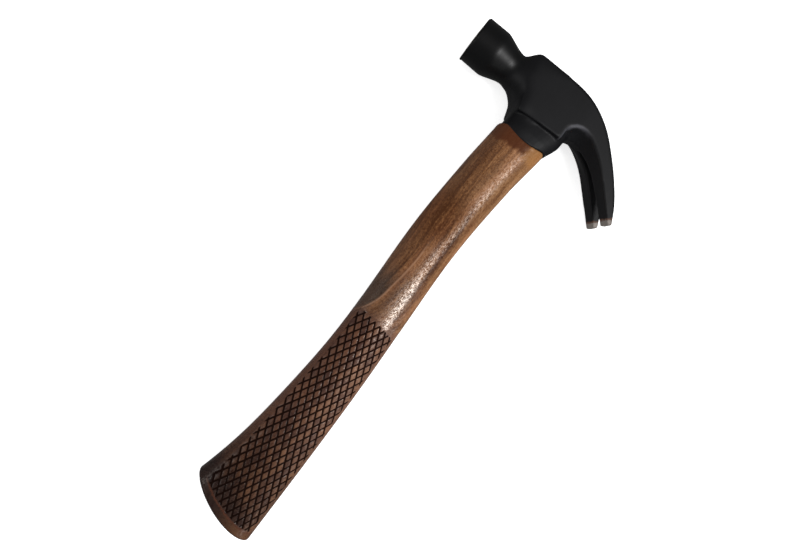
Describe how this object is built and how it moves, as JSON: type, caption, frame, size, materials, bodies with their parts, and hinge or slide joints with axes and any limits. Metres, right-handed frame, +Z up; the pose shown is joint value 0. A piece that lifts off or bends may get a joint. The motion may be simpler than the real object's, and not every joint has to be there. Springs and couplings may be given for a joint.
{
  "type": "claw hammer",
  "caption": "Claw hammer: forged head with a round striking poll, adze-eye collar and curved slotted claw, wedged on a curved wooden handle with a checkered grip.",
  "frame": {"origin": "bottom centre of the whole hammer lying on its side on a flat surface", "axes": "+X from the striking face to the claws, +Y from the handle's butt to the head, +Z up through the upper cheek"},
  "size_m": [0.1308, 0.3208, 0.0292],
  "materials": {
    "black_paint": "satin black paint, worn to bare steel at the claw tips",
    "varnished_wood": "glossy varnished reddish-brown hardwood, darker over the checkered grip",
    "wedge_wood": "bare pale hardwood end grain",
    "wedge_steel": "plain ground steel"
  },
  "bodies": {
    "root": {"head": "black_paint", "handle": "varnished_wood", "wood_wedge": "wedge_wood", "steel_wedge_front": "wedge_steel", "steel_wedge_rear": "wedge_steel"}
  },
  "joints": []
}
